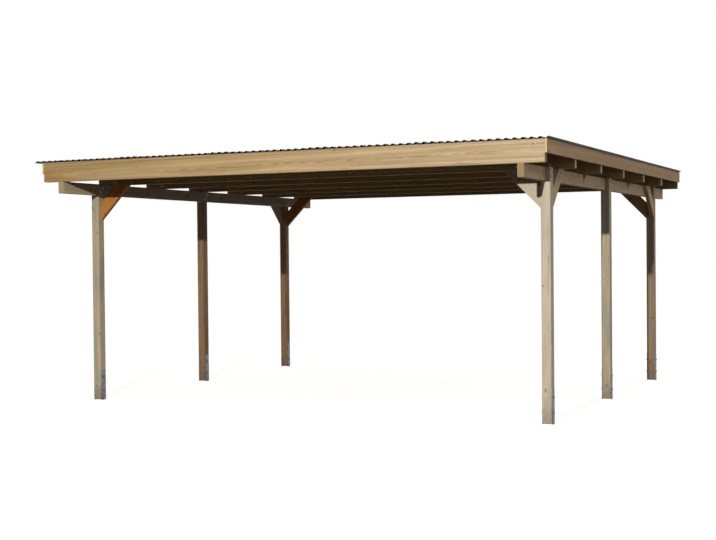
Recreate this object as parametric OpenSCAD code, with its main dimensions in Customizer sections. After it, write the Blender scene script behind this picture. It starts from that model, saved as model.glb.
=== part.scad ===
/* A double carport: an open timber frame under a nearly flat corrugated roof.
   Six square posts stand in steel anchors and carry two beams that run from
   front to back. Seven rafters lie across the beams, held by angle brackets and
   straps, boards close the front and the sides of the roof, and knee braces stiffen
   the four corner posts.
   X runs across, Y from front to back and Z up. The driveway is the front.
   The origin is on the ground, below the middle of the whole roof. */

/* [Posts] */
// Side of the square posts
post_size = 90; // [80:1:110]
// Distance between the left and right rows of posts, centre to centre
bay_width = 4990; // [3600:10:6000]
// Distance between neighbouring posts of a row, centre to centre
post_spacing = 2025; // [1500:10:2600]
// Clear height under the beams at the front posts
clear_height = 2185; // [1900:10:2600]

/* [Beams] */
// Width of the two long beams
beam_width = 60; // [45:1:75]
// Height of the two long beams
beam_height = 120; // [100:1:180]
// Distance from the rear rafter's back to the rear ends of the beams
beam_setback = 0; // [0:5:30]

/* [Roof] */
// How far the front board stands in front of the front post centres
front_overhang = 640; // [350:10:900]
// How far the roof reaches behind the rear post centres
rear_overhang = 650; // [350:10:900]
// How far the side boards stand outside the post centres
side_overhang = 205; // [160:5:400]
// Fall of the roof towards the back, in degrees
roof_fall = 0.2; // [0:0.1:2]
// Thickness of the rafters
rafter_width = 45; // [35:1:60]
// Height of the rafters
rafter_height = 200; // [160:1:240]

/* [Boards] */
// Thickness of the boards round the roof
board_thickness = 20; // [16:1:28]
// Height of the side boards
side_board_height = 120; // [95:1:150]

/* [Braces] */
// Thickness of the knee braces
brace_width = 45; // [35:1:45]
// Height of the side braces across the grain
brace_height = 120; // [70:1:140]
// Distance from the underside of the beam down to the toe of a side brace
brace_drop = 240; // [180:5:400]
// Height across the grain of the cross braces, which reach over to the other row
cross_brace_height = 133; // [70:1:140]
// Distance from the underside of the beam down to the toe of a cross brace
cross_brace_drop = 260; // [180:5:400]

/* [Roof sheets] */
// Pitch of the corrugations
wave_pitch = 76; // [60:1:100]
// Height of the corrugations
wave_height = 18; // [12:1:30]
// Thickness of the sheets
sheet_thickness = 1.2; // [0.8:0.1:2]
// How far the sheets reach past the front board and the rear rafter
sheet_overhang = 15; // [0:5:60]
// How far the sheets reach past the right side board
sheet_right_overhang = 20; // [0:5:60]
// Air left between two sheets where they lap
lap_clearance = 2; // [0.5:0.1:4]

/* [Rafter straps] */
// Width of the twisted steel straps outside the beams
strap_width = 32; // [20:1:40]
// Thickness of the straps and of the angle brackets
strap_steel = 2; // [1.5:0.5:3]
// How far a strap reaches up the rafter, and as far down the beam
strap_reach = 85; // [60:5:95]
// Width of the angle brackets that stand on the beams in front of the rafters
bracket_width = 42; // [30:1:55]
// How far a bracket reaches up the rafter, and as far along the beam
bracket_reach = 55; // [40:1:70]

/* [Post anchors] */
// Width of the steel flanges of a post anchor
anchor_width = 60; // [50:1:80]
// Thickness of the steel of a post anchor
anchor_steel = 5; // [4:1:8]
// Height of the flanges above the ground
anchor_height = 320; // [200:10:400]
// Gap between the ground and the foot of the post
foot_gap = 10; // [6:1:40]

/* [Hidden] */
sheet_count = 5;                  // one node each
rafter_count = 7;                 // one node each
lap_waves = 2.5;                  // corrugations that two neighbouring sheets share
wave_steps = 12;                  // straight facets that make one corrugation
brace_angle = 45;                 // lean of the knee braces
strap_taper = 0.8;                // part of a strap's reach that its slanted end takes up
cut_margin = 50;                  // how far a cutting box reaches past what it cuts

LEFT = -1;
RIGHT = 1;
POST_ROWS = [0, post_spacing, 2 * post_spacing];   // Y of the front, middle and rear posts

row_x = bay_width / 2;
roof_half = row_x + side_overhang;                 // outer face of a side board
roof_front = -front_overhang;                      // outer face of the front board
roof_back = 2 * post_spacing + rear_overhang;      // back of the rear rafter
roof_length = roof_back - roof_front;
roof_top = beam_height + rafter_height;            // over the beams' underside
rafter_half = roof_half - board_thickness;
first_rafter = roof_front + board_thickness;
rafter_step = (roof_length - board_thickness - rafter_width) / (rafter_count - 1);
tongue = post_size / 2;                            // what a notch leaves of the post

sheets_right = roof_half + sheet_right_overhang;
waves_needed = (sheets_right + roof_half) / wave_pitch;
cover_waves = ceil((waves_needed - lap_waves) / sheet_count);
sheet_waves = cover_waves + lap_waves;
sheets_width = (sheet_count * cover_waves + lap_waves) * wave_pitch;
sheets_left = sheets_right - sheets_width;
sheet_lift = sheet_thickness + lap_clearance;      // of a sheet where it lies over its neighbour

// The middle of the whole roof, which the origin is under
middle_x = (sheets_left + sheets_right) / 2;
front_edge = (roof_front - sheet_overhang) * cos(roof_fall) + roof_top * sin(roof_fall);
back_edge = (roof_back + sheet_overhang) * cos(roof_fall)
    + (roof_top + wave_height + sheet_thickness + sheet_lift) * sin(roof_fall);
middle_y = (front_edge + back_edge) / 2;

TIMBER = [0.62, 0.55, 0.43];
DARK_TIMBER = [0.48, 0.41, 0.33];
PALE_TIMBER = [0.78, 0.66, 0.46];
GREY_TIMBER = [0.52, 0.46, 0.39];
STEEL = [0.45, 0.49, 0.51];
SHEET = [0.16, 0.17, 0.18];

// Moves what is drawn round the front posts' line to the origin under the roof
module placed() {
    translate([-middle_x, -middle_y, 0]) children();
}

// The leaning frame of the roof: z is 0 at the underside of the beams
module on_roof() {
    translate([0, 0, clear_height]) rotate([-roof_fall, 0, 0]) children();
}

// Mirrors a piece of the right row for the left row
module on_side(side) {
    if (side == LEFT) mirror([1, 0, 0]) children();
    else children();
}

// Everything above a height over the beams' underside, near the posts
module above(height) {
    reach = roof_half + cut_margin;
    on_roof() translate([-reach, roof_front - cut_margin, height])
        cube([2 * reach, roof_length + 2 * cut_margin, 2 * roof_top]);
}

// A post whose top is halved, so that a tongue stands outside the beam
module post(side, y) {
    top = clear_height + beam_height + cut_margin;
    color(TIMBER) placed() on_side(side) difference() {
        translate([row_x - post_size / 2, y - post_size / 2, foot_gap])
            cube([post_size, post_size, top - foot_gap]);
        intersection() {
            above(0);
            translate([row_x - post_size, y - post_size, 0])
                cube([post_size, 2 * post_size, 2 * top]);
        }
        above(beam_height);
    }
}

// A steel anchor: two flanges beside the post and a plate under it
module anchor(side, y) {
    half = post_size / 2;
    color(STEEL) placed() on_side(side) translate([row_x, y - anchor_width / 2, 0]) {
        for (x = [-half - anchor_steel, half])
            translate([x, 0, 0]) cube([anchor_steel, anchor_width, anchor_height]);
        translate([-half - anchor_steel, 0, foot_gap - anchor_steel])
            cube([post_size + 2 * anchor_steel, anchor_width, anchor_steel]);
    }
}

module beam(side) {
    color(GREY_TIMBER) placed() on_side(side) on_roof()
        translate([row_x - beam_width, roof_front, 0])
            cube([beam_width, roof_length - beam_setback, beam_height]);
}

module rafter(index) {
    color(DARK_TIMBER) placed() on_roof()
        translate([-rafter_half, first_rafter + index * rafter_step, beam_height])
            cube([2 * rafter_half, rafter_width, rafter_height]);
}

// A strip bent round the upright corner between a beam's outer face and a rafter's back.
// One leg reaches down the beam and one up the rafter; both lie away from the corner.
module strap(y) {
    leg = [[0, -strap_reach], [strap_width, -strap_reach],
        [strap_width, 0], [0, strap_taper * strap_reach]];
    translate([0, y, beam_height]) {
        rotate([90, 0, 90]) linear_extrude(strap_steel) polygon(leg);
        mirror([0, 0, 1]) rotate([90, 0, 0]) translate([0, 0, -strap_steel])
            linear_extrude(strap_steel) polygon(leg);
    }
}

// An angle bracket on the top of a beam, flush with the beam's inner face, against a
// rafter; way is 1 where it stands behind the rafter.
module bracket(y, way) {
    translate([-beam_width, y, beam_height]) mirror([0, way < 0 ? 1 : 0, 0]) {
        cube([bracket_width, bracket_reach, strap_steel]);
        cube([bracket_width, strap_steel, bracket_reach]);
    }
}

// Each rafter has a bracket. The third and the fifth one are strapped too, between the
// heads of the side braces and of the middle post.
module rafter_straps(side) {
    last = rafter_count - 1;
    color(STEEL) placed() on_side(side) on_roof() translate([row_x, first_rafter, 0]) {
        for (index = [0:last])
            bracket(index * rafter_step + (index == 0 ? rafter_width : 0), index == 0 ? 1 : -1);
        for (index = [2:2:last - 1]) strap(index * rafter_step + rafter_width);
    }
}

// Outline of a knee brace: its toe is on the post's face, drop below the beam
module brace_outline(drop, height) {
    rise = drop + beam_height + cut_margin;
    run = rise / tan(brace_angle);
    upright = height / cos(brace_angle);
    polygon([[0, -drop], [run, rise - drop], [run, rise - drop + upright], [0, upright - drop]]);
}

// Height of the beams' underside over the ground at a place along the row
function beam_underside(y) = clear_height - y * tan(roof_fall);

// A brace from a corner post towards the other row, flush with the back of the post
module cross_brace(side, y) {
    color(PALE_TIMBER) placed() on_side(side) difference() {
        translate([row_x - post_size / 2, y + post_size / 2, beam_underside(y)])
            mirror([1, 0, 0]) rotate([90, 0, 0])
                linear_extrude(brace_width) brace_outline(cross_brace_drop, cross_brace_height);
        above(beam_height);
    }
}

// A brace from a corner post along the outer face of the beam; way is 1 to the back
module side_brace(side, y, way) {
    color(TIMBER) placed() on_side(side) difference() {
        translate([row_x, y + way * post_size / 2, beam_underside(y)])
            mirror([0, way < 0 ? 1 : 0, 0]) rotate([90, 0, 90])
                linear_extrude(tongue) brace_outline(brace_drop, brace_height);
        above(beam_height);
    }
}

module front_board() {
    color(PALE_TIMBER) placed() on_roof() translate([-rafter_half, roof_front, beam_height])
        cube([2 * rafter_half, board_thickness, rafter_height]);
}

module side_board(side) {
    color(GREY_TIMBER) placed() on_side(side) on_roof()
        translate([rafter_half, roof_front, roof_top - side_board_height])
            cube([board_thickness, roof_length, side_board_height]);
}

// Height of the underside of a sheet, in from a trough at its left edge. Where it laps
// over its neighbour it is lifted, and comes down over the next corrugation.
function underside(x, lift) = wave_height / 2 * (1 - cos(360 * x / wave_pitch))
    + lift * max(0, min(1, lap_waves + 1 - x / wave_pitch));

// Section of one corrugated sheet, from its left edge
module sheet_section(lift) {
    count = round(sheet_waves * wave_steps);
    step = wave_pitch / wave_steps;
    polygon(concat(
        [for (i = [0:count]) [i * step, underside(i * step, lift)]],
        [for (i = [count:-1:0]) [i * step, underside(i * step, lift) + sheet_thickness]]));
}

// Each sheet lies over the right edge of the one before it
module roof_sheet(index) {
    length = roof_length + 2 * sheet_overhang;
    color(SHEET) placed() on_roof()
        translate([sheets_left + index * cover_waves * wave_pitch,
            roof_back + sheet_overhang, roof_top])
            rotate([90, 0, 0]) linear_extrude(length) sheet_section(index > 0 ? sheet_lift : 0);
}

post(LEFT, POST_ROWS[0]);  // post_front_left
post(LEFT, POST_ROWS[1]);  // post_middle_left
post(LEFT, POST_ROWS[2]);  // post_rear_left
post(RIGHT, POST_ROWS[0]);  // post_front_right
post(RIGHT, POST_ROWS[1]);  // post_middle_right
post(RIGHT, POST_ROWS[2]);  // post_rear_right
anchor(LEFT, POST_ROWS[0]);  // anchor_front_left
anchor(LEFT, POST_ROWS[1]);  // anchor_middle_left
anchor(LEFT, POST_ROWS[2]);  // anchor_rear_left
anchor(RIGHT, POST_ROWS[0]);  // anchor_front_right
anchor(RIGHT, POST_ROWS[1]);  // anchor_middle_right
anchor(RIGHT, POST_ROWS[2]);  // anchor_rear_right
beam(LEFT);  // beam_left
beam(RIGHT);  // beam_right
rafter(0);  // rafter_1
rafter(1);  // rafter_2
rafter(2);  // rafter_3
rafter(3);  // rafter_4
rafter(4);  // rafter_5
rafter(5);  // rafter_6
rafter(6);  // rafter_7
cross_brace(LEFT, POST_ROWS[0]);  // cross_brace_front_left
cross_brace(LEFT, POST_ROWS[2]);  // cross_brace_rear_left
cross_brace(RIGHT, POST_ROWS[0]);  // cross_brace_front_right
cross_brace(RIGHT, POST_ROWS[2]);  // cross_brace_rear_right
side_brace(LEFT, POST_ROWS[0], 1);  // side_brace_front_left
side_brace(LEFT, POST_ROWS[2], -1);  // side_brace_rear_left
side_brace(RIGHT, POST_ROWS[0], 1);  // side_brace_front_right
side_brace(RIGHT, POST_ROWS[2], -1);  // side_brace_rear_right
rafter_straps(LEFT);  // rafter_straps_left
rafter_straps(RIGHT);  // rafter_straps_right
front_board();
side_board(LEFT);  // side_board_left
side_board(RIGHT);  // side_board_right
roof_sheet(0);  // roof_sheet_1
roof_sheet(1);  // roof_sheet_2
roof_sheet(2);  // roof_sheet_3
roof_sheet(3);  // roof_sheet_4
roof_sheet(4);  // roof_sheet_5
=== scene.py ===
"""Looks of a double carport: treated pine on steel post anchors, under dark corrugated sheets.

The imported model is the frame, and gives every place and size. Each class makes one part of the
building and dresses it. X runs across, Y from the driveway to the back and Z up. Sizes are in
metres, unless a name ends in _mm or _deg.
"""
import logging
import math
import random
from dataclasses import dataclass, field, replace
from enum import Enum
from functools import cache
from typing import Any

import bmesh
import bpy
from bmesh.types import BMesh
from bpy.types import Material, Mesh, NodeSocket as Socket, NodeTree, Object
from mathutils import Matrix, Vector


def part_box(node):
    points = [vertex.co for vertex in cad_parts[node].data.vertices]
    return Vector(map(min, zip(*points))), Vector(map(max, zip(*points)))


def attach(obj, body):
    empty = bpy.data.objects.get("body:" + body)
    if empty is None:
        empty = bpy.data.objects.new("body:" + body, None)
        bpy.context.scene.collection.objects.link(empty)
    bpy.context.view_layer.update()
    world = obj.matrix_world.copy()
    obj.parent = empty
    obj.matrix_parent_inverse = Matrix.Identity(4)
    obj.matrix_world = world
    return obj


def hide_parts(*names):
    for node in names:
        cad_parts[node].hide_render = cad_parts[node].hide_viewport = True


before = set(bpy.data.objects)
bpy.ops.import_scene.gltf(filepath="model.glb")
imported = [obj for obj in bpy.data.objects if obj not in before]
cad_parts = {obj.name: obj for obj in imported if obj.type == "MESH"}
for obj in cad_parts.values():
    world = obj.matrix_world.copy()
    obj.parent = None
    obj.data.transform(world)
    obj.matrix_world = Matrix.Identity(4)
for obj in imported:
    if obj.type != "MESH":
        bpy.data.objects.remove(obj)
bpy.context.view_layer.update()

LOG = logging.getLogger("carport")
BODY = "root"
MM = 0.001

GRAIN = "grain"      # a timber's own coordinates: two across it from its heart, and one along it
SAWN = "sawn_end"    # 1 on the faces that are cut across the grain
FACING = "facing"    # the way that a fastener's head looks

ROWS = ("front", "middle", "rear")
SIDES = {"left": -1, "right": 1}
CORNERS = {"front": 1, "rear": -1}
RAFTERS = 7
Spots = tuple[tuple[float, float], ...]
ACROSS = Vector((1, 0, 0))
UP = Vector((0, 0, 1))


def linear(code: str) -> tuple[float, float, float, float]:
    """Turn a colour into what the shaders take.

    Args:
        code: An sRGB hex code such as "#c8aa78".

    Returns:
        The linear red, green and blue, and an alpha of 1.
    """
    parts = [int(code[i:i + 2], 16) / 255 for i in (1, 3, 5)]
    red, green, blue = (c / 12.92 if c <= 0.04045 else ((c + 0.055) / 1.055) ** 2.4 for c in parts)
    return red, green, blue, 1.0


class Graph:
    """A node tree that is being built."""

    def __init__(self, tree: NodeTree) -> None:
        """Start from an empty tree."""
        self.tree = tree
        tree.nodes.clear()

    def add(self, kind: str, inputs: dict[str | int, Any] | tuple[Any, ...] = (),
            out: str | int = 0, **settings: Any) -> Socket | None:
        """Add a node with its settings and links.

        Args:
            kind: The node's type, where a shader node goes without its prefix. Its operation,
                or else its data type, follows after a dot.
            inputs: The value that an input has or the socket that feeds it, for each name or
                number, or else for the first inputs in turn.
            out: Name or number of the output that is wanted.
            settings: The node's own properties.

        Returns:
            That output, or None from a node without outputs.
        """
        kind, _, choice = kind.partition(".")
        node = self.tree.nodes.new(kind if "Node" in kind else f"ShaderNode{kind}")
        if choice:
            setattr(node, "operation" if hasattr(node, "operation") else "data_type", choice)
        for name, value in settings.items():
            setattr(node, name, value)
        if isinstance(inputs, tuple):
            inputs = dict(enumerate(inputs))
        for key, value in inputs.items():
            if isinstance(value, Socket):
                self.tree.links.new(value, node.inputs[key])
            else:
                node.inputs[key].default_value = value
        return node.outputs[out] if node.outputs else None


def new_material(name: str) -> tuple[Material, Graph]:
    """Make an empty material.

    Args:
        name: What it is called.

    Returns:
        The material and its node tree.
    """
    material = bpy.data.materials.new(name)
    material.use_nodes = True
    return material, Graph(material.node_tree)


@dataclass(frozen=True)
class TreatedPine:
    """Pressure-treated pine, planed and then weathered outdoors.

    Pale early wood alternates with darker late wood in rings round the heart, which show as
    lines and long arches on the faces. Knots push the rings aside. The treatment leaves green
    and grey patches, and drying opens fine cracks. The surface is matt.
    """

    name: str
    early: str               # wood that grew in spring
    late: str                # the denser summer wood
    weathered: str           # where sun and rain have greyed it
    cut: str                 # wood that is cut across the grain
    knot: str = "#6b4426"
    ring_mm: float = 5.0     # width of a year's growth
    contrast: float = 0.55   # how much the late wood stands out
    weathering: float = 0.4  # how much of the surface is weathered
    painted_falloff: float = 0.0      # painted light: how much paler the timber gets towards one end, standing in for light falling off along it
    cracks: float = 0.5      # how dark the drying cracks are
    streaks: float = 0.14    # how much the colour changes from fibre to fibre
    knot_mm: float = 13.0    # radius of a usual knot
    knot_gap: float = 0.55   # metres from knot to knot
    splash: float = 0.0      # how dirty it is at the ground

    @cache
    def material(self) -> Material:
        """Build the finish, once only.

        Returns:
            Its material.
        """
        material, g = new_material(self.name)
        g.add("OutputMaterial", {"Surface": PineNodes(self, g).shader()})
        return material


class PineNodes:
    """The nodes of one treated-pine finish, on the timber's own coordinates."""

    # Features in a metre, across and along the timber
    BENDS = (2.5, 2.5, 0.9)
    STREAKS = (70.0, 70.0, 0.9)
    PATCHES = (9.0, 9.0, 1.3)
    FIBRES = (900.0, 900.0, 25.0)
    YEARS = 55.0        # slow changes from year to year
    CRACKS_ALONG = 0.55
    CRACKS_OPEN = 2.3   # how often they open and close again
    CRACKS_ROUND = 2.2  # in a radian round the heart

    SWAY = (0.028, 0.028, 0.0)  # how far the rings wander
    LATE_POWER = 2.6            # how late in the year the wood darkens
    KNOTS_ROUND = 0.9           # knots in a radian
    KNOT_SIZES = (0.35, 1.25)   # smallest and largest, over the usual one
    KNOT_RING = 2.2 * MM
    PUSH = 1.6                  # how far a knot pushes the rings, over its radius
    PUSH_REACH = 0.42           # how soon that fades
    HALF_LENGTH = 2.6           # from the middle of a beam or board to its end
    NOISE = (0.3, 0.7)          # where most of a noise's values lie
    CRACK_COLOUR = "#3a2c1e"
    SOIL_COLOUR = "#6e5c46"

    def __init__(self, pine: TreatedPine, g: Graph) -> None:
        """Find each point's place in the log: out from the heart, round it and along it.

        Args:
            pine: The finish.
            g: The tree of its material.
        """
        self.pine, self.g = pine, g
        self.place = g.add("Attribute", out="Vector", attribute_name=GRAIN)
        slow = g.add("VectorMath.MULTIPLY", (self.place, self.BENDS))
        wander = g.add("TexNoise", {"Vector": slow, "Scale": 1.0, "Detail": 2.0}, "Color")
        wander = g.add("VectorMath.SUBTRACT", (wander, (0.5, 0.5, 0.5)))
        bent = g.add("VectorMath.MULTIPLY_ADD", (wander, self.SWAY, self.place))
        across = g.add("VectorMath.MULTIPLY", (bent, (1, 1, 0)))
        self.radius = g.add("VectorMath.LENGTH", (across,), "Value")
        split = g.add("SeparateXYZ", (bent,))
        self.along = split.node.outputs["Z"]
        self.angle = g.add("Math.ARCTAN2", (split.node.outputs["Y"], split))

    def shader(self) -> Socket:
        """Join the colour, the relief and the gloss.

        Returns:
            The wood's shader.
        """
        g = self.g
        knot, swirl, ripple = self._knots()
        late, band = self._rings(g.add("Math.ADD", (self.radius, swirl)))
        colour = self._colour(late, band, knot, ripple)
        crack = self._cracks()
        colour = g.add("Mix.RGBA", {0: crack, 6: colour, 7: linear(self.CRACK_COLOUR)}, 2)
        colour = self._dirt(colour)
        height = self._relief(late, knot, crack)
        normal = g.add("Bump", {"Height": height, "Strength": 0.6, "Distance": 0.4 * MM})
        rough = g.add("MapRange", (late, 0, 1, 0.78, 0.6))
        return g.add("BsdfPrincipled", {"Base Color": colour, "Roughness": rough,
                                        "Normal": normal, "IOR": 1.5, "Specular IOR Level": 0.35})

    def _knots(self) -> tuple[Socket, Socket, Socket]:
        """Scatter knots, which run out from the heart like spokes.

        Returns:
            Where the knots are, how far they push the rings aside, and the rings inside them.
        """
        g, gap, usual = self.g, self.pine.knot_gap, self.pine.knot_mm * MM
        cell_x = g.add("Math.MULTIPLY", (self.angle, self.KNOTS_ROUND))
        cell_y = g.add("Math.DIVIDE", (self.along, gap))
        cell = g.add("CombineXYZ", (cell_x, cell_y))
        spot = g.add("TexVoronoi", {"Vector": cell, "Scale": 1.0}, "Position",
                     voronoi_dimensions="2D")
        off = g.add("VectorMath.SUBTRACT", (cell, spot))
        off = g.add("VectorMath.MULTIPLY", (off, (1 / self.KNOTS_ROUND, 0.75 * gap, 0)))
        parts = g.add("SeparateXYZ", (off,))
        side = g.add("Math.MULTIPLY", (parts, self.radius))
        off = g.add("CombineXYZ", (side, parts.node.outputs["Y"]))
        distance = g.add("VectorMath.LENGTH", (off,), "Value")
        chance = g.add("SeparateColor", (spot.node.outputs["Color"],))
        small, large = self.KNOT_SIZES
        size = g.add("MapRange", (chance, 0, 1, small * usual, large * usual))
        ratio = g.add("Math.DIVIDE", (distance, size))
        knot = g.add("MapRange", (ratio, 1.1, 0.8), interpolation_type="SMOOTHSTEP")
        near = g.add("Math.MULTIPLY", (ratio, self.PUSH_REACH))
        near = g.add("Math.MULTIPLY", (near, near))
        near = g.add("Math.MULTIPLY", (near, -1.0))
        near = g.add("Math.EXPONENT", (near,))
        swirl = g.add("Math.MULTIPLY", (near, size))
        swirl = g.add("Math.MULTIPLY", (swirl, self.PUSH))
        ripple = g.add("Math.DIVIDE", (distance, self.KNOT_RING))
        ripple = g.add("Math.FRACT", (ripple,))
        return knot, swirl, ripple

    def _rings(self, rings: Socket) -> tuple[Socket, Socket]:
        """Turn the distance from the heart into late wood.

        Args:
            rings: Distance from the heart, pushed aside round knots.

        Returns:
            How much late wood there is, and the slower change from year to year.
        """
        g = self.g
        year = g.add("Math.DIVIDE", (rings, self.pine.ring_mm * MM))
        season = g.add("Math.FRACT", (year,))
        late = g.add("Math.POWER", (season, self.LATE_POWER))
        years = g.add("Math.MULTIPLY", (rings, self.YEARS))
        band = g.add("TexNoise", {"W": years, "Scale": 1.0, "Detail": 2.0}, noise_dimensions="1D")
        strength = g.add("MapRange", (band, *self.NOISE, 0.45, 1.0))
        return g.add("Math.MULTIPLY", (late, strength)), band

    def _colour(self, late: Socket, band: Socket, knot: Socket, ripple: Socket) -> Socket:
        """Mix the wood's colour.

        Args:
            late: How much late wood there is.
            band: The slower change from year to year.
            knot: Where the knots are.
            ripple: The rings inside them.

        Returns:
            The colour, with painted light paling it along its length, but without cracks or dirt.
        """
        g, pine = self.g, self.pine
        streak = g.add("VectorMath.MULTIPLY", (self.place, self.STREAKS))
        streak = g.add("TexNoise", {"Vector": streak, "Scale": 1.0, "Detail": 4.0,
                                    "Roughness": 0.6})
        tone = g.add("Math.MULTIPLY", (late, pine.contrast))
        bands = g.add("MapRange", (band, *self.NOISE, -0.2 * pine.contrast, 0.5 * pine.contrast))
        tone = g.add("Math.ADD", (tone, bands))
        streaks = g.add("MapRange", (streak, *self.NOISE, -pine.streaks, 1.5 * pine.streaks))
        tone = g.add("Math.ADD", (tone, streaks), use_clamp=True)
        wood = g.add("Mix.RGBA", {0: tone, 6: linear(pine.early), 7: linear(pine.late)}, 2)
        # Painted light: the wood pales and loses colour towards one end, standing in for light
        # falling off along the timber
        far = g.add("SeparateXYZ", (self.place,), "Z")
        pale = g.add("MapRange", (far, -self.HALF_LENGTH, self.HALF_LENGTH, -pine.painted_falloff,
                                  pine.painted_falloff))
        wood = g.add("HueSaturation", {"Color": wood, "Value": g.add("Math.ADD", (1.0, pale)),
                                       "Saturation": g.add("Math.MULTIPLY_ADD", (pale, -2.0, 1.0))})
        object_place = g.add("TexCoord", out="Object")
        patch = g.add("VectorMath.MULTIPLY", (self.place, self.PATCHES))
        patch = g.add("VectorMath.ADD", (patch, object_place))
        patch = g.add("TexNoise", {"Vector": patch, "Scale": 1.0, "Detail": 3.0, "Roughness": 0.55})
        grey = g.add("MapRange", (patch, 0.35, 0.68, 0, pine.weathering),
                     interpolation_type="SMOOTHSTEP")
        wood = g.add("Mix.RGBA", {0: grey, 6: wood, 7: linear(pine.weathered)}, 2)
        heart = g.add("Mix.RGBA", {0: ripple, 6: linear(pine.knot), 7: linear(pine.late)}, 2)
        knot = g.add("Math.MULTIPLY", (knot, 0.8))
        wood = g.add("Mix.RGBA", {0: knot, 6: wood, 7: heart}, 2)
        sawn = g.add("Attribute", out="Fac", attribute_name=SAWN)
        sawn = g.add("Math.MULTIPLY", (sawn, 0.75))
        return g.add("Mix.RGBA", {0: sawn, 6: wood, 7: linear(pine.cut)}, 2)

    def _cracks(self) -> Socket:
        """Draw drying cracks: thin lines along the grain, which open and close again.

        Returns:
            Where the cracks are.
        """
        g = self.g
        far = g.add("Math.MULTIPLY", (self.along, self.CRACKS_ALONG))
        turn = g.add("Math.MULTIPLY", (self.angle, self.CRACKS_ROUND))
        line = g.add("CombineXYZ", (turn, far))
        line = g.add("TexNoise", {"Vector": line, "Scale": 1.0, "Detail": 1.0},
                     noise_dimensions="2D")
        line = g.add("Math.SUBTRACT", (line, 0.5))
        line = g.add("Math.ABSOLUTE", (line,))
        reach = g.add("TexNoise", {"W": self.along, "Scale": self.CRACKS_OPEN, "Detail": 1.0},
                      noise_dimensions="1D")
        width = g.add("MapRange", (reach, 0.5, 0.65, 0.0002, 0.006))
        crack = g.add("Math.DIVIDE", (line, width))
        return g.add("MapRange", (crack, 1.0, 0.4, 0, self.pine.cracks))

    def _dirt(self, colour: Socket) -> Socket:
        """Darken the foot of a timber that stands near the ground, where rain splashes it.

        Args:
            colour: The clean colour.

        Returns:
            The colour with dirt.
        """
        if not self.pine.splash:
            return colour
        g = self.g
        place = g.add("TexCoord", out="Object")
        height = g.add("SeparateXYZ", (place,), "Z")
        cloud = g.add("TexNoise", {"Vector": place, "Scale": 14.0, "Detail": 4.0})
        cloud = g.add("Math.MULTIPLY", (cloud, 0.35))
        level = g.add("Math.SUBTRACT", (height, cloud))
        dirt = g.add("MapRange", (level, 0.12, -0.18, 0, self.pine.splash),
                     interpolation_type="SMOOTHSTEP")
        return g.add("Mix.RGBA", {0: dirt, 6: colour, 7: linear(self.SOIL_COLOUR)}, 2)

    def _relief(self, late: Socket, knot: Socket, crack: Socket) -> Socket:
        """Raise the late wood and the knots, and sink the cracks and the fibres.

        Args:
            late: How much late wood there is.
            knot: Where the knots are.
            crack: Where the cracks are.

        Returns:
            The height of the surface, as a share of the bump's distance.
        """
        g = self.g
        fibre = g.add("VectorMath.MULTIPLY", (self.place, self.FIBRES))
        fibre = g.add("TexNoise", {"Vector": fibre, "Scale": 1.0, "Detail": 2.0})
        height = g.add("Math.MULTIPLY_ADD", (late, 0.5, fibre))
        height = g.add("Math.MULTIPLY_ADD", (knot, 0.6, height))
        return g.add("Math.MULTIPLY_ADD", (crack, -3.0, height))


@dataclass(frozen=True)
class Zinc:
    """Hot-dip galvanised or zinc-plated steel: crystals a few millimetres wide, dulled outdoors."""

    name: str
    bright: str
    dull: str
    roughness: float
    metallic: float
    crystal_mm: float = 9.0
    dirt: float = 0.0

    @cache
    def material(self) -> Material:
        """Build the finish, once only.

        Returns:
            Its material.
        """
        material, g = new_material(self.name)
        place = g.add("TexCoord", out="Object")
        crystal = g.add("TexVoronoi", {"Vector": place, "Scale": 1 / (self.crystal_mm * MM)},
                        "Color")
        crystal = g.add("SeparateColor", (crystal,))
        cloud = g.add("TexNoise", {"Vector": place, "Scale": 22.0, "Detail": 5.0,
                                   "Roughness": 0.65})
        cloud = g.add("MapRange", (cloud, 0.35, 0.65))
        tone = g.add("Math.MULTIPLY_ADD", (crystal, 0.35, g.add("Math.MULTIPLY", (cloud, 0.65))))
        colour = g.add("Mix.RGBA", {0: tone, 6: linear(self.bright), 7: linear(self.dull)}, 2)
        if self.dirt:
            height = g.add("SeparateXYZ", (place,), "Z")
            level = g.add("Math.MULTIPLY_ADD", (cloud, -0.12, height))
            soil = g.add("MapRange", (level, 0.06, -0.1, 0, self.dirt))
            colour = g.add("Mix.RGBA", {0: soil, 6: colour, 7: linear("#5e5040")}, 2)
        rough = g.add("MapRange", (tone, 0, 1, self.roughness - 0.08, self.roughness + 0.1))
        normal = g.add("Bump", {"Height": cloud, "Strength": 0.25, "Distance": 0.2 * MM})
        shader = g.add("BsdfPrincipled", {"Base Color": colour, "Metallic": self.metallic,
                                          "Roughness": rough, "Normal": normal})
        g.add("OutputMaterial", {"Surface": shader})
        return material


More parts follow.
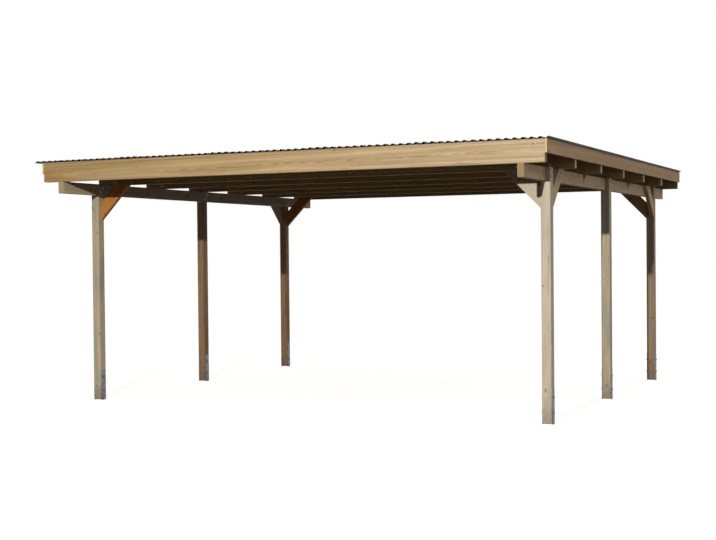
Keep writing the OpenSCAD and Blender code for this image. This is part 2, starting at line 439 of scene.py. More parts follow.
@dataclass(frozen=True)
class SheetPlastic:
    """Rigid corrugated plastic, extruded and coloured right through, with a satin skin.

    Dust and rain leave paler runs down the corrugations.
    """

    name: str = "rigid_plastic_anthracite"
    clean: str = "#17181a"
    dusty: str = "#323335"
    roughness: float = 0.55

    @cache
    def material(self) -> Material:
        """Build the finish, once only.

        Returns:
            Its material.
        """
        material, g = new_material(self.name)
        place = g.add("TexCoord", out="Object")
        run = g.add("VectorMath.MULTIPLY", (place, (55.0, 0.7, 20.0)))
        run = g.add("TexNoise", {"Vector": run, "Scale": 1.0, "Detail": 4.0, "Roughness": 0.6})
        cloud = g.add("TexNoise", {"Vector": place, "Scale": 1.7, "Detail": 5.0, "Roughness": 0.6})
        dust = g.add("Math.MULTIPLY", (run, cloud))
        dust = g.add("MapRange", (dust, 0.17, 0.4))
        colour = g.add("Mix.RGBA", {0: dust, 6: linear(self.clean), 7: linear(self.dusty)}, 2)
        grit = g.add("TexNoise", {"Vector": place, "Scale": 900.0, "Detail": 1.0})
        rough = g.add("MapRange", (dust, 0, 1, self.roughness, self.roughness + 0.3))
        normal = g.add("Bump", {"Height": grit, "Strength": 0.15, "Distance": 0.1 * MM})
        shader = g.add("BsdfPrincipled", {"Base Color": colour, "Roughness": rough,
                                          "Normal": normal, "IOR": 1.53})
        g.add("OutputMaterial", {"Surface": shader})
        return material


PALE_PINE = TreatedPine("pine_posts_pale", "#d1ccbf", "#ac9f89", "#a2a4a2", "#c6bead",
                        splash=0.45, weathering=0.4, knot="#8a6240", knot_gap=1.1)
GREEN_PINE = TreatedPine("pine_posts_green", "#d0c5ad", "#9e8e74", "#9fa7a1", "#c9bfa7",
                         splash=0.45, weathering=0.7, streaks=0.2, knot="#a58a66", knot_gap=1.3)
GREY_PINE = TreatedPine("pine_posts_grey", "#bba68c", "#8b7158", "#9b988f", "#bba88e",
                        splash=0.45, weathering=0.6, contrast=0.9, streaks=0.3, knot_gap=1.2)
BROWN_PINE = TreatedPine("pine_posts_brown", "#ba9671", "#69482a", "#8d816d", "#a38663",
                         splash=0.45, weathering=0.6, contrast=1.1, streaks=0.4, knot_gap=1.2)
BEAM_PINE = TreatedPine("pine_beams", "#d8bd9a", "#a18466", "#b2a793", "#807049",
                        weathering=0.6, cracks=0.6)
PALE_BEAM_PINE = TreatedPine("pine_beams_pale", "#cbbfa5", "#97866e", "#a7a89e", "#9b917f",
                             weathering=0.5, cracks=0.4)
RAFTER_PINE = TreatedPine("pine_rafters", "#af9361", "#876a40", "#918365", "#e8dcc5",
                          weathering=0.35, ring_mm=4.0)
# The first rafter's copy of the rafter finish darkens its cut ends: painted shade where those ends
# sit in shadow
SHADED_FRONT_RAFTER_PINE = replace(RAFTER_PINE, name="pine_rafter_front_shaded_end", cut="#6b563c")
BRACE_PINE = TreatedPine("pine_braces", "#d9c09a", "#af936d", "#ada08c", "#d1bb98",
                         weathering=0.4)
HEART_PINE = TreatedPine("pine_heartwood", "#c88c47", "#9a5d29", "#a97d53", "#bd884c",
                         weathering=0.12, contrast=0.8)
# The front board's dark cut colour is painted shade, for its ends that sit in shadow at the corners
BOARD_PINE = TreatedPine("pine_front_board", "#c3ae8b", "#8b7044", "#a0937b", "#7c6446",
                         weathering=0.35, painted_falloff=0.12, cracks=0.3, ring_mm=2.4, knot_mm=8.0,
                         contrast=0.8, streaks=0.26, knot="#97703f", knot_gap=1.0)
SIDE_PINE = TreatedPine("pine_side_boards", "#cca881", "#9b7959", "#a6947a", "#e1c89d",
                        weathering=0.55, cracks=0.35, ring_mm=6.0, knot="#96602f", knot_gap=0.4,
                        contrast=0.9)
ANCHOR_ZINC = Zinc("steel_galvanised", "#8a949a", "#5f6a72", 0.5, 0.6, dirt=0.8)
STRAP_ZINC = Zinc("steel_strap_galvanised", "#a3967d", "#7a6e5a", 0.65, 0.1)
BOLT_ZINC = Zinc("steel_bolts_plated", "#8f8c82", "#66645d", 0.5, 0.7, crystal_mm=4.0)
SHEET_PLASTIC = SheetPlastic()
CAP_PLASTIC = SheetPlastic("plastic_screw_caps", "#26282c", "#454648", 0.6)


@dataclass(frozen=True)
class Roof:
    """The leaning frame of the roof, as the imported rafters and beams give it.

    In its own coordinates x runs across from the middle, y down the fall from the middle of the
    first rafter, and z square to the roof from the top of the beams.
    """

    fall: float                 # lean towards the back, in radians
    to_row: Matrix              # from the roof's own coordinates
    rafters: tuple[float, ...]  # y of the middle of each rafter
    rafter_thick: float
    rafter_high: float
    beam_inner: float           # x of the beam's inner face, from the middle
    beam_outer: float

    @classmethod
    def read(cls) -> "Roof":
        """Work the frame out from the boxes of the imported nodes.

        Returns:
            The frame.
        """
        middles = []
        for index in range(1, RAFTERS + 1):
            low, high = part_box(f"rafter_{index}")
            middles.append((low + high) / 2)
        run = middles[-1] - middles[0]
        fall = math.atan2(-run.z, run.y)
        _, thick, high = cls.size("rafter_1", fall)
        turn = Matrix.Rotation(-fall, 4, "X")
        origin = middles[0] - turn @ Vector((0, 0, high / 2))
        inner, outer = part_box("beam_right")
        return cls(fall, Matrix.Translation(origin) @ turn,
                   tuple((m - middles[0]).length for m in middles), thick, high,
                   inner.x - origin.x, outer.x - origin.x)

    @staticmethod
    def size(node: str, fall: float) -> tuple[float, float, float]:
        """Find the size of a straight piece that leans with the roof.

        Args:
            node: The CAD node's name.
            fall: The roof's lean, in radians.

        Returns:
            Its size across, down the fall and square to the roof.
        """
        low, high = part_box(node)
        span = high - low
        c, s = math.cos(fall), math.sin(fall)
        share = c * c - s * s
        return span.x, (span.y * c - span.z * s) / share, (span.z * c - span.y * s) / share

    def place(self, x: float, y: float, z: float) -> Vector:
        """Return the place in the row frame of a point in the roof's own coordinates."""
        return self.to_row @ Vector((x, y, z))

    def way(self, x: float, y: float, z: float) -> Vector:
        """Return the direction in the row frame of a direction in the roof's own coordinates."""
        return self.to_row.to_3x3() @ Vector((x, y, z))


def finish_piece(piece: Object, slot: str, replaced: tuple[str, ...] = ()) -> None:
    """Let a finished piece ride on the body, hide the CAD nodes that it stands for, and log it.

    Args:
        piece: The piece, in its place.
        slot: The material slot, which is only logged.
        replaced: The CAD nodes that it stands for.
    """
    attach(piece, BODY)
    if replaced:
        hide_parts(*replaced)
    LOG.info("%s: %d faces, slot %s", piece.name, len(piece.data.polygons), slot)


def merged_copy(node: str) -> BMesh:
    """Copy a CAD node's mesh as whole faces, with its loose triangles joined.

    Args:
        node: The CAD node's name.

    Returns:
        The mesh, which the caller frees.
    """
    mesh = bmesh.new()
    mesh.from_mesh(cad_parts[node].data)
    bmesh.ops.remove_doubles(mesh, verts=mesh.verts, dist=0.02 * MM)
    bmesh.ops.dissolve_limit(mesh, angle_limit=math.radians(1), verts=mesh.verts, edges=mesh.edges)
    bmesh.ops.recalc_face_normals(mesh, faces=mesh.faces)
    return mesh


def ease_edges(mesh: BMesh, width_mm: float) -> None:
    """Round the outer edges of a mesh, as planing or rolling leaves them.

    Args:
        mesh: The mesh.
        width_mm: How wide the rounding is.
    """
    sharp = [e for e in mesh.edges if e.is_convex and e.calc_face_angle(0) > math.radians(25)]
    bmesh.ops.bevel(mesh, geom=sharp, offset=width_mm * MM, segments=2, profile=0.6,
                    affect="EDGES", clamp_overlap=True)


def link(name: str, mesh: BMesh, material: Material) -> Object:
    """Turn a mesh into an object in the scene.

    Args:
        name: The piece's name.
        mesh: The mesh, which is freed.
        material: What it is dressed in.

    Returns:
        The object.
    """
    data = bpy.data.meshes.new(name)
    mesh.to_mesh(data)
    mesh.free()
    data.materials.append(material)
    piece = bpy.data.objects.new(name, data)
    bpy.context.scene.collection.objects.link(piece)
    return piece


@dataclass
class Timber:
    """A straight planed timber, cut from a log whose heart lies in it or beside it."""

    node: str
    slot: str
    finish: TreatedPine
    along: Vector                  # the way that the grain runs
    heart_mm: tuple[float, float]  # the log's heart, from the timber's middle
    taper: float                   # how far the heart drifts over a metre of length
    arris_mm: float
    square: float = 0.6            # how far a face looks along the grain, if it is sawn

    def build(self) -> None:
        """Make the timber over its CAD node, with its grain and rounded arrises."""
        mesh = merged_copy(self.node)
        ease_edges(mesh, self.arris_mm)
        along = self.along.normalized()
        first = along.cross(UP)
        first = first.normalized() if first.length > 0.1 else ACROSS
        second = along.cross(first)
        low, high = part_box(self.node)
        middle = (low + high) / 2
        grain = mesh.verts.layers.float_vector.new(GRAIN)
        sawn = mesh.loops.layers.float.new(SAWN)
        for vert in mesh.verts:
            offset = vert.co - middle
            far = offset.dot(along)
            vert[grain] = (offset.dot(first) - self.heart_mm[0] * MM + self.taper * far,
                           offset.dot(second) - self.heart_mm[1] * MM + self.taper * far, far)
        for face in mesh.faces:
            for loop in face.loops:
                loop[sawn] = float(abs(face.normal.dot(along)) > self.square)
        piece = link(f"{self.node}_timber", mesh, self.finish.material())
        finish_piece(piece, self.slot, (self.node,))


@dataclass
class TimberFrame:
    """Posts, beams, rafters, knee braces and boards."""

    roof: Roof
    seed: int = 7
    heart_reach_mm: float = 26.0  # how far a heart lies from the middle of a squared timber
    taper: tuple[float, float] = (-0.01, 0.01)
    board_heart_mm: float = 95.0  # how far a heart lies behind a flat-sawn board
    board_shift_mm: float = 20.0
    board_taper: tuple[float, float] = (0.004, 0.008)
    arris_mm: float = 4.0
    board_arris_mm: float = 2.5
    finishes: dict[str, TreatedPine] = field(default_factory=lambda: {
        "post_front_left": GREEN_PINE, "post_middle_left": BROWN_PINE,
        "post_rear_left": BROWN_PINE, "post_middle_right": GREEN_PINE,
        "post_rear_right": GREY_PINE, "beam_left": PALE_BEAM_PINE,
        "cross_brace_front_left": HEART_PINE, "cross_brace_rear_left": HEART_PINE,
        "cross_brace_front_right": PALE_PINE, "rafter_1": SHADED_FRONT_RAFTER_PINE})

    def build(self) -> None:
        """Make every timber."""
        self.chance = random.Random(self.seed)
        down = self.roof.way(0, 1, 0)
        for side, sign in SIDES.items():
            for row in ROWS:
                self._timber(f"post_{row}_{side}", "posts", PALE_PINE, UP)
            self._timber(f"beam_{side}", "beams", BEAM_PINE, down)
            for row, way in CORNERS.items():
                self._timber(f"cross_brace_{row}_{side}", "braces", BRACE_PINE,
                             Vector((-sign, 0, 1)))
                self._timber(f"side_brace_{row}_{side}", "braces", BRACE_PINE,
                             Vector((0, way, 1)))
            self._timber(f"side_board_{side}", "side_boards", SIDE_PINE, down, board=True)
        for index in range(RAFTERS):
            self._timber(f"rafter_{index + 1}", "rafters", RAFTER_PINE, ACROSS)
        self._timber("front_board", "front_board", BOARD_PINE, ACROSS, board=True)

    def _timber(self, node: str, slot: str, finish: TreatedPine, along: Vector,
                board: bool = False) -> None:
        """Make one timber, with its heart somewhere inside, or behind it in a flat-sawn board.

        Args:
            node: Its CAD node.
            slot: The material slot, which is logged.
            finish: What it is dressed in, unless its node has a finish of its own.
            along: The way that the grain runs.
            board: Whether it is a board.
        """
        side = self.board_shift_mm if board else self.heart_reach_mm
        behind = self.board_heart_mm if board else self.chance.uniform(-side, side)
        heart = (behind, self.chance.uniform(-side, side))
        taper = self.chance.uniform(*(self.board_taper if board else self.taper))
        Timber(node, slot, self.finishes.get(node, finish), along, heart, taper,
               self.board_arris_mm if board else self.arris_mm).build()


def open_tree(name: str, sizes: tuple[str, ...], counts: tuple[str, ...]) -> tuple[Graph, Any]:
    """Start a Geometry Nodes tree that takes a geometry, named numbers and a material.

    Args:
        name: What the tree is called.
        sizes: Its inputs that are measures.
        counts: Its inputs that are whole numbers.

    Returns:
        The tree, and the outputs of the node that gives its inputs.
    """
    tree = bpy.data.node_groups.new(name, "GeometryNodeTree")
    kinds = {"Geometry": "Geometry", **dict.fromkeys(sizes, "Float"),
             **dict.fromkeys(counts, "Int"), "Material": "Material"}
    for key, kind in kinds.items():
        tree.interface.new_socket(key, in_out="INPUT", socket_type=f"NodeSocket{kind}")
    tree.interface.new_socket("Geometry", in_out="OUTPUT", socket_type="NodeSocketGeometry")
    g = Graph(tree)
    return g, g.add("NodeGroupInput").node.outputs


def run_tree(name: str, data: Mesh, tree: NodeTree, values: dict[str, Any]) -> Object:
    """Run a Geometry Nodes tree on a mesh, and keep the result as a plain mesh.

    Args:
        name: The piece's name.
        data: The mesh that goes in.
        tree: The tree.
        values: What its named inputs are.

    Returns:
        The piece, in the scene, with no modifier left.
    """
    source = bpy.data.objects.new(f"{name}_source", data)
    bpy.context.scene.collection.objects.link(source)
    modifier = source.modifiers.new("nodes", "NODES")
    modifier.node_group = tree
    for socket in tree.interface.items_tree:
        if socket.in_out == "INPUT" and socket.name in values:
            modifier[socket.identifier] = values[socket.name]
    shown = source.evaluated_get(bpy.context.evaluated_depsgraph_get())
    made = bpy.data.meshes.new_from_object(shown)
    source.modifiers.clear()
    bpy.data.objects.remove(source)
    made.name = name
    piece = bpy.data.objects.new(name, made)
    bpy.context.scene.collection.objects.link(piece)
    return piece


class Head(Enum):
    """The fasteners that show: sizes in mm of the washer and of the head on it.

    Each holds the washer's diameter and height, the head's sides, its diameter at the foot and
    at the top, and its height.
    """

    HEXAGON = (26.0, 2.5, 6, 20.0, 19.0, 7.0)
    DOME = (30.0, 2.5, 20, 22.0, 9.0, 4.5)
    WASHER_SCREW = (16.0, 1.5, 20, 11.0, 8.0, 1.6)
    BOARD_SCREW = (9.5, 0.5, 16, 6.0, 4.0, 0.5)
    NAIL = (7.0, 0.6, 10, 5.0, 2.5, 0.5)
    CAP = (22.0, 1.0, 20, 19.0, 12.0, 2.0)


WASHER_SIDES = 24
HEAD_INPUTS = ("Washer Diameter", "Washer Height", "Head Sides", "Head Foot Diameter",
               "Head Top Diameter", "Head Height")


@cache
def fastener_tree() -> NodeTree:
    """Build the tree that puts a head with its washer on every point, once only.

    Returns:
        The tree.
    """
    sizes = tuple(name for name in HEAD_INPUTS if name != "Head Sides")
    g, given = open_tree("fastener_heads", sizes, ("Head Sides", "Seed"))
    half = {name: g.add("Math.MULTIPLY", (given[name], 0.5))
            for name in sizes if name.endswith("Diameter")}
    washer = g.add("GeometryNodeMeshCone", {
        "Vertices": WASHER_SIDES, "Radius Top": half["Washer Diameter"],
        "Radius Bottom": half["Washer Diameter"], "Depth": given["Washer Height"]})
    head = g.add("GeometryNodeMeshCone", {
        "Vertices": given["Head Sides"], "Radius Top": half["Head Top Diameter"],
        "Radius Bottom": half["Head Foot Diameter"], "Depth": given["Head Height"]})
    up = g.add("CombineXYZ", {2: given["Washer Height"]})
    head = g.add("GeometryNodeTransform", {"Geometry": head, "Translation": up})
    joined = g.add("GeometryNodeJoinGeometry", (washer,))
    g.tree.links.new(head, joined.node.inputs[0])
    facing = g.add("GeometryNodeInputNamedAttribute", {"Name": FACING}, data_type="FLOAT_VECTOR")
    turned = g.add("FunctionNodeAlignRotationToVector", {"Vector": facing}, axis="Z")
    spin = g.add("FunctionNodeRandomValue", {"Min": 0.0, "Max": math.tau, "Seed": given["Seed"]},
                 1, data_type="FLOAT")
    spin = g.add("CombineXYZ", {2: spin})
    turned = g.add("FunctionNodeRotateRotation", {"Rotation": turned, "Rotate By": spin},
                   rotation_space="LOCAL")
    made = g.add("GeometryNodeInstanceOnPoints", {
        "Points": given["Geometry"], "Instance": joined, "Rotation": turned})
    made = g.add("GeometryNodeRealizeInstances", {"Geometry": made})
    made = g.add("GeometryNodeSetMaterial", {"Geometry": made, "Material": given["Material"]})
    g.add("NodeGroupOutput", (made,))
    return g.tree


@dataclass
class Fasteners:
    """One kind of fastener on one kind of piece: where the heads sit and how they face."""

    name: str
    head: Head
    seed: int
    finish: Zinc | SheetPlastic = BOLT_ZINC
    slot: str = "steel"
    spots: list[tuple[Vector, Vector]] = field(default_factory=list)

    def add(self, place: Vector, facing: Vector) -> None:
        """Put one head at a place, facing away from its surface."""
        self.spots.append((place, facing.normalized()))

    def build(self) -> None:
        """Make all the heads as one piece."""
        data = bpy.data.meshes.new(f"{self.name}_points")
        data.from_pydata([place for place, _ in self.spots], [], [])
        facing = data.attributes.new(FACING, "FLOAT_VECTOR", "POINT")
        facing.data.foreach_set("vector", [c for _, way in self.spots for c in way])
        values = {name: size if name == "Head Sides" else size * MM
                  for name, size in zip(HEAD_INPUTS, self.head.value)}
        values |= {"Seed": self.seed, "Material": self.finish.material()}
        finish_piece(run_tree(self.name, data, fastener_tree(), values), self.slot)


@dataclass
class Hardware:
    """Post anchors, rafter brackets and straps, and the bolts, screws and nails in them."""

    roof: Roof
    steel_edge_mm: float = 1.2
    anchor_bolts: tuple[float, ...] = (0.105, 0.245)    # heights over the ground
    tongue_bolts: tuple[float, ...] = (-0.084, -0.036)  # heights from the beams' top
    tongue_stagger: float = 0.014
    strap_steel: float = 0.002
    strapped: tuple[int, ...] = (2, 4)                  # the rafters that have straps
    strap_nails: Spots = ((0.009, 0.038), (0.023, 0.05), (0.009, 0.062), (0.023, 0.074))
    bracket_nails: Spots = ((0.01, 0.02), (0.032, 0.02), (0.01, 0.043), (0.032, 0.043))
    toe_screws: Spots = ((0.045, 0.3), (0.075, 0.7))    # from a brace's toe, and share across
    beam_screws: Spots = ((0.235, 0.03), (0.275, 0.03), (0.2, 0.078), (0.25, 0.078))
    board_edge: float = 0.032                           # from a board's edge to its screws
    front_screws: int = 10                              # pairs along the front board

    def build(self) -> None:
        """Make the steel and every fastener on it."""
        self._anchors()
        for side in SIDES:
            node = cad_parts[f"rafter_straps_{side}"]
            node.data.materials.clear()
            node.data.materials.append(STRAP_ZINC.material())
        for fasteners in (self._anchor_bolts(), self._tongue_bolts(), self._strap_nails(),
                          self._brace_screws(), self._front_screws(), self._side_screws()):
            fasteners.build()

    def _anchors(self) -> None:
        """Make the post anchors, with the rolled edges of flat steel."""
        for side in SIDES:
            for row in ROWS:
                node = f"anchor_{row}_{side}"
                mesh = merged_copy(node)
                ease_edges(mesh, self.steel_edge_mm)
                piece = link(f"{node}_steel", mesh, ANCHOR_ZINC.material())
                finish_piece(piece, "steel", (node,))

    def _anchor_bolts(self) -> Fasteners:
        """Bolt each post between the flanges of its anchor, with a head at both ends.

        Returns:
            The bolts.
        """
        bolts = Fasteners("anchor_bolts", Head.HEXAGON, 3)
        for side in SIDES:
            for row in ROWS:
                low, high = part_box(f"anchor_{row}_{side}")
                for height in self.anchor_bolts:
                    for x, way in ((low.x, -1), (high.x, 1)):
                        bolts.add(Vector((x, (low.y + high.y) / 2, height)), way * ACROSS)
        return bolts

    def _tongue_bolts(self) -> Fasteners:
        """Bolt each post's tongue through the beam, with domed heads outside and inside.

        Returns:
            The bolts.
        """
        bolts = Fasteners("beam_bolts", Head.DOME, 5)
        for side, sign in SIDES.items():
            for row in ROWS:
                low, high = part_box(f"post_{row}_{side}")
                for height, stagger in zip(self.tongue_bolts, (-1, 1)):
                    y = (low.y + high.y) / 2 + stagger * self.tongue_stagger
                    flat = self.roof.to_row.inverted() @ Vector((0, y, high.z))
                    outer = (high.x if sign > 0 else -low.x) - sign * self.roof.to_row.translation.x
                    for x, way in ((sign * outer, sign), (sign * self.roof.beam_inner, -sign)):
                        bolts.add(self.roof.place(x, flat.y, height), self.roof.way(way, 0, 0))
        return bolts

    def _strap_nails(self) -> Fasteners:
        """Nail the brackets and the straps: four nails in each leg.

        Returns:
            The nails.
        """
        nails = Fasteners("strap_nails", Head.NAIL, 6)
        inner, outer, steel = self.roof.beam_inner, self.roof.beam_outer, self.strap_steel
        half = self.roof.rafter_thick / 2
        for sign in SIDES.values():
            spots = []
            for index, y in enumerate(self.roof.rafters):
                way = 1 if index == 0 else -1
                for across, reach in self.bracket_nails:
                    spots.append(((inner + across, y + way * (half + reach), steel), (0, 0, 1)))
                    spots.append(((inner + across, y + way * (half + steel), reach), (0, way, 0)))
                if index not in self.strapped:
                    continue
                for across, reach in self.strap_nails:
                    spots.append(((outer + steel, y + half + across, -reach), (1, 0, 0)))
                    spots.append(((outer + across, y + half + steel, reach), (0, 1, 0)))
            for (x, y, z), (across, along, up) in spots:
                nails.add(self.roof.place(sign * x, y, z), self.roof.way(sign * across, along, up))
        return nails

    def _brace_screws(self) -> Fasteners:
        """Screw the knee braces to the posts, and the side braces to the beams too.

        Returns:
            The screws.
        """
        screws = Fasteners("brace_screws", Head.WASHER_SCREW, 8)
        slant = math.sqrt(0.5)
        for side, sign in SIDES.items():
            for row, way in CORNERS.items():
                low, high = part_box(f"cross_brace_{row}_{side}")
                toe = high.x if sign > 0 else low.x
                for step, share in self.toe_screws:
                    y = low.y + share * (high.y - low.y)
                    screws.add(Vector((toe - sign * step * slant, y, low.z + step * slant)),
                               Vector((-sign * slant, 0, -slant)))
                low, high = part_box(f"side_brace_{row}_{side}")
                toe = low.y if way > 0 else high.y
                for step, share in self.toe_screws:
                    x = low.x + share * (high.x - low.x)
                    screws.add(Vector((x, toe + way * step * slant, low.z + step * slant)),
                               Vector((0, -way * slant, -slant)))
                outer = high.x if sign > 0 else low.x
                for run, drop in self.beam_screws:
                    screws.add(Vector((outer, toe + way * run, high.z - drop)), sign * ACROSS)
        return screws

    def _front_screws(self) -> Fasteners:
        """Screw the front board to the first rafter, in pairs.

        Returns:
            The screws.
        """
        screws = Fasteners("front_board_screws", Head.BOARD_SCREW, 9)
        width, thick, high = Roof.size("front_board", self.roof.fall)
        front = -self.roof.rafter_thick / 2 - thick
        for index in range(self.front_screws):
            x = (index / (self.front_screws - 1) - 0.5) * (width - 4 * self.board_edge)
            for z in (self.board_edge, high - self.board_edge):
                screws.add(self.roof.place(x, front, z), self.roof.way(0, -1, 0))
        return screws

    def _side_screws(self) -> Fasteners:
        """Screw the side boards to the ends of the rafters, in pairs.

        Returns:
            The screws.
        """
        screws = Fasteners("side_board_screws", Head.BOARD_SCREW, 10)
        high = Roof.size("side_board_right", self.roof.fall)[2]
        for side, sign in SIDES.items():
            low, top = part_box(f"side_board_{side}")
            outer = (top.x if sign > 0 else low.x) - self.roof.to_row.translation.x
            for y in self.roof.rafters:
                for down in (self.board_edge, high - self.board_edge):
                    screws.add(self.roof.place(outer, y, self.roof.rafter_high - down),
                               self.roof.way(sign, 0, 0))
        return screws


SHEET_SIZES = ("Waves", "Pitch", "Height", "Length", "Thickness", "Lift", "Lap Waves")


def sheet_tree() -> NodeTree:
    """Build the tree that makes one corrugated sheet, from its left front corner.

    Returns:
        The tree.
    """
    g, given = open_tree("corrugated_sheet", SHEET_SIZES, ("Steps", "Rows"))
    width = g.add("Math.MULTIPLY", (given["Waves"], given["Pitch"]))
    columns = g.add("Math.MULTIPLY_ADD", (given["Waves"], given["Steps"], 1.0))
    grid = g.add("GeometryNodeMeshGrid", {"Size X": width, "Size Y": given["Length"],
                                          "Vertices X": columns, "Vertices Y": given["Rows"]})
    half_x = g.add("Math.MULTIPLY", (width, 0.5))
    half_y = g.add("Math.MULTIPLY", (given["Length"], 0.5))
    corner = g.add("CombineXYZ", (half_x, half_y))
    grid = g.add("GeometryNodeSetPosition", {"Geometry": grid, "Offset": corner})
    x = g.add("SeparateXYZ", (g.add("GeometryNodeInputPosition"),))
    wave = g.add("Math.DIVIDE", (x, given["Pitch"]))
    turn = g.add("Math.MULTIPLY", (wave, math.tau))
    turn = g.add("Math.COSINE", (turn,))
    rise = g.add("Math.SUBTRACT", (1.0, turn))
    rise = g.add("Math.MULTIPLY", (rise, given["Height"]))
    rise = g.add("Math.MULTIPLY", (rise, 0.5))
    # The lapped waves ride on the sheet before, and come down over one wave
    past = g.add("Math.SUBTRACT", (given["Lap Waves"], wave))
    past = g.add("Math.ADD", (past, 1.0), use_clamp=True)
    rise = g.add("Math.MULTIPLY_ADD", (past, given["Lift"], rise))
    rise = g.add("CombineXYZ", {2: rise})
    grid = g.add("GeometryNodeSetPosition", {"Geometry": grid, "Offset": rise})
    thick = g.add("CombineXYZ", {2: given["Thickness"]})
    upper = g.add("GeometryNodeExtrudeMesh", {
        "Mesh": grid, "Offset": thick, "Offset Scale": 1.0, "Individual": False}, mode="FACES")
    under = g.add("GeometryNodeFlipFaces", {"Mesh": grid})
    joined = g.add("GeometryNodeJoinGeometry", (upper,))
    g.tree.links.new(under, joined.node.inputs[0])
    joined = g.add("GeometryNodeMergeByDistance", {"Geometry": joined, "Distance": 0.05 * MM})
    joined = g.add("GeometryNodeSetShadeSmooth", {"Geometry": joined}, domain="FACE")
    bend = g.add("GeometryNodeInputMeshEdgeAngle")
    soft = g.add("FunctionNodeCompare.LESS_THAN", (bend, math.radians(40)), data_type="FLOAT")
    joined = g.add("GeometryNodeSetShadeSmooth", {"Geometry": joined, "Shade Smooth": soft},
                   domain="EDGE")
    made = g.add("GeometryNodeSetMaterial", {"Geometry": joined, "Material": given["Material"]})
    g.add("NodeGroupOutput", (made,))
    return g.tree


@dataclass
class Covering:
    """The corrugated sheets, each over the right edge of the one before, and their screw caps."""

    roof: Roof
    sheets: int = 5
    pitch: float = 0.076
    height: float = 0.018
    thickness: float = 0.0012
    cover_waves: int = 14
    lap_waves: float = 2.5
    steps: int = 24                           # faces across a wave
    rows: int = 15                            # vertices along a sheet
    capped: tuple[int, ...] = (3, 7, 10, 13)  # crests of each sheet that are screwed

    def build(self) -> None:
        """Make the sheets and their caps."""
        tree = sheet_tree()
        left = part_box("roof_sheet_1")[0].x - self.roof.to_row.translation.x
        _, length, second_high = Roof.size("roof_sheet_2", self.roof.fall)
        lift = second_high - self.height - self.thickness
        middle = (self.roof.rafters[0] + self.roof.rafters[-1]) / 2
        board = Roof.size("front_board", self.roof.fall)[1]
        front = middle - board / 2 - length / 2
        top = self.roof.rafter_high + self.height + self.thickness
        values = {"Waves": self.cover_waves + self.lap_waves, "Pitch": self.pitch,
                  "Height": self.height, "Length": length, "Thickness": self.thickness,
                  "Lap Waves": self.lap_waves, "Steps": self.steps, "Rows": self.rows,
                  "Material": SHEET_PLASTIC.material()}
        caps = Fasteners("sheet_screw_caps", Head.CAP, 11, CAP_PLASTIC, "roof_sheet")
        for index in range(self.sheets):
            name = f"roof_sheet_{index + 1}"
            values["Lift"] = lift if index else 0.0
            empty = bpy.data.meshes.new(f"{name}_seed")
            piece = run_tree(f"{name}_corrugated", empty, tree, values)
            start = left + index * self.cover_waves * self.pitch
            place = Matrix.Translation((start, front, self.roof.rafter_high))
            piece.data.transform(self.roof.to_row @ place)
            finish_piece(piece, "roof_sheet", (name,))
            for crest in self.capped:
                x = start + (crest + 0.5) * self.pitch
                for y in self.roof.rafters:
                    caps.add(self.roof.place(x, y, top), self.roof.way(0, 0, 1))
        caps.build()


@dataclass(frozen=True)
class Eye:
    """The camera: a standing viewer on the driveway, to the right of the carport."""

    place: tuple[float, float, float] = (5.937, -12.839, 1.586)
    turn_deg: float = 26.117  # to the left of straight ahead
    dip_deg: float = 0.949    # down from level
    roll_deg: float = -0.539
    lens_mm: float = 62.84
    sensor_mm: float = 36.0
    reach: float = 500.0

    def build(self) -> None:
        """Make the camera, and set it as the scene's."""
        data = bpy.data.cameras.new("eye")
        data.lens = self.lens_mm
        data.sensor_width = self.sensor_mm
        data.clip_end = self.reach
        camera = bpy.data.objects.new("eye", data)
        turn = (Matrix.Rotation(math.radians(self.turn_deg), 4, "Z")
                @ Matrix.Rotation(math.radians(90 - self.dip_deg), 4, "X")
                @ Matrix.Rotation(math.radians(self.roll_deg), 4, "Z"))
        camera.matrix_world = Matrix.Translation(self.place) @ turn
        bpy.context.scene.collection.objects.link(camera)
        bpy.context.scene.camera = camera


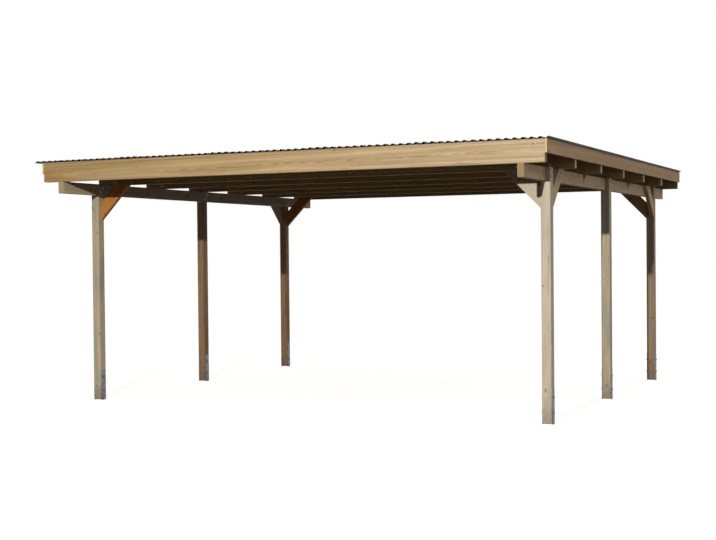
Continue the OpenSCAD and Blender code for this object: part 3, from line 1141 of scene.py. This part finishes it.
@dataclass(frozen=True)
class Studio:
    """A pale floor that keeps soft shadows, a white surround, a key lamp and soft fill."""

    floor_size: float = 160.0
    key_place: tuple[float, float, float] = (3.1, -14.03, 4.88)
    key_aim: tuple[float, float, float] = (0.5, -1.5, 1.4)
    key_power: float = 1370.0
    key_size: float = 0.14
    key_colour: str = "#fff3e0"
    fill_colour: str = "#fff8ec"
    fill_from: tuple[float, float, float] = (0.62, 0.7, 0.35)
    fill_strength: tuple[float, float] = (0.0, 0.8)  # from the other side, and from that one
    floor_shown: str = "#f4f4f2"                     # where it is seen
    floor_lit: str = "#3a2b16"                       # what it throws back, as paving would
    floor_glow: float = 1.28
    floor_shadow: float = 0.3                        # how strong the shadows on it are

    def build(self) -> None:
        """Set the stage and its light."""
        bpy.context.scene.view_settings.view_transform = "Standard"
        self._world()
        self._key()
        self._floor()

    @staticmethod
    def _seen(g: Graph) -> Socket:
        """Tell rays that show a surface from rays that only light others.

        Args:
            g: The tree.

        Returns:
            1 for the rays that show it.
        """
        ray = g.add("LightPath").node.outputs
        seen = g.add("Math.MAXIMUM", (ray["Is Camera Ray"], ray["Is Glossy Ray"]))
        return g.add("Math.MAXIMUM", (seen, ray["Is Transmission Ray"]))

    def _world(self) -> None:
        """Make the surround: white where it is seen, and a soft fill from one side for the rest."""
        world = bpy.data.worlds.new("surround")
        bpy.context.scene.world = world
        world.use_nodes = True
        g = Graph(world.node_tree)
        way = g.add("TexCoord", out="Generated")
        side = g.add("VectorMath.DOT_PRODUCT", (way, Vector(self.fill_from).normalized()), "Value")
        weak, strong = self.fill_strength
        side = g.add("MapRange", (side, -1.0, 1, weak, strong))
        fill = g.add("Background", {"Color": linear(self.fill_colour), "Strength": side})
        white = g.add("Background", {"Color": (1, 1, 1, 1), "Strength": 1.0})
        shown = g.add("MixShader", (self._seen(g), fill, white))
        g.add("OutputWorld", {"Surface": shown})

    def _key(self) -> None:
        """Make the key lamp, which stands on the driveway, to the right."""
        data = bpy.data.lights.new("key", "AREA")
        data.shape = "DISK"
        data.size = self.key_size
        data.energy = self.key_power
        data.color = linear(self.key_colour)[:3]
        lamp = bpy.data.objects.new("key", data)
        way = Vector(self.key_aim) - Vector(self.key_place)
        lamp.location = self.key_place
        lamp.rotation_euler = way.to_track_quat("-Z", "Y").to_euler()
        lamp.visible_camera = False
        bpy.context.scene.collection.objects.link(lamp)

    def _floor(self) -> None:
        """Make the floor."""
        material, g = new_material("studio_floor")
        shown = g.add("BsdfDiffuse", {"Color": linear(self.floor_shown)})
        glow = g.add("Emission", {"Color": (1, 1, 1, 1), "Strength": self.floor_glow})
        shown = g.add("MixShader", (self.floor_shadow, glow, shown))
        lit = g.add("BsdfDiffuse", {"Color": linear(self.floor_lit)})
        both = g.add("MixShader", (self._seen(g), lit, shown))
        g.add("OutputMaterial", {"Surface": both})
        mesh = bmesh.new()
        bmesh.ops.create_grid(mesh, x_segments=1, y_segments=1, size=self.floor_size / 2)
        link("studio_floor", mesh, material)


def main() -> None:
    """Build the carport and its stage."""
    logging.basicConfig(level=logging.INFO, format="%(message)s")
    Eye().build()
    Studio().build()
    roof = Roof.read()
    TimberFrame(roof).build()
    Hardware(roof).build()
    Covering(roof).build()


if __name__ == "__main__":
    main()
